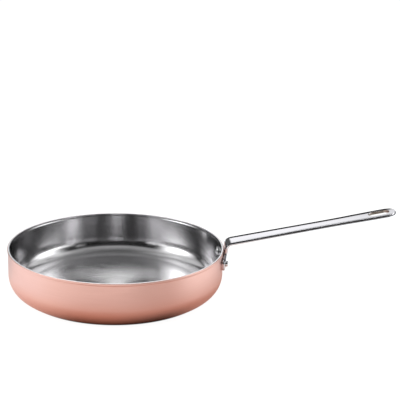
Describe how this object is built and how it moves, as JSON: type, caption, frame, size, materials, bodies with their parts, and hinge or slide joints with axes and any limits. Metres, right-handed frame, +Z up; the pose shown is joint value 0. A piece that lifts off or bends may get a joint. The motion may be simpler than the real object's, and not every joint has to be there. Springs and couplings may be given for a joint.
{
  "type": "saute pan",
  "caption": "Shallow straight-sided saute pan with a satin copper outside, a brushed steel lining and a long flat polished steel handle, riveted on and slotted at its end for hanging",
  "frame": {"origin": "centre of the flat underside of the pan, on the surface the pan stands on", "axes": "+Z up through the open top, +X outwards along the handle, +Y to the left when looking along the handle from the pan"},
  "size_m": [0.4688, 0.26, 0.1051],
  "materials": {
    "copper": "satin",
    "core": "satin",
    "lining": "satin",
    "handle": "polished",
    "rivets": "polished"
  },
  "bodies": {
    "root": {"copper_shell": "copper", "aluminium_core": "core", "steel_lining": "lining", "handle": "handle", "rivet_near": "rivets", "rivet_far": "rivets"}
  },
  "joints": []
}
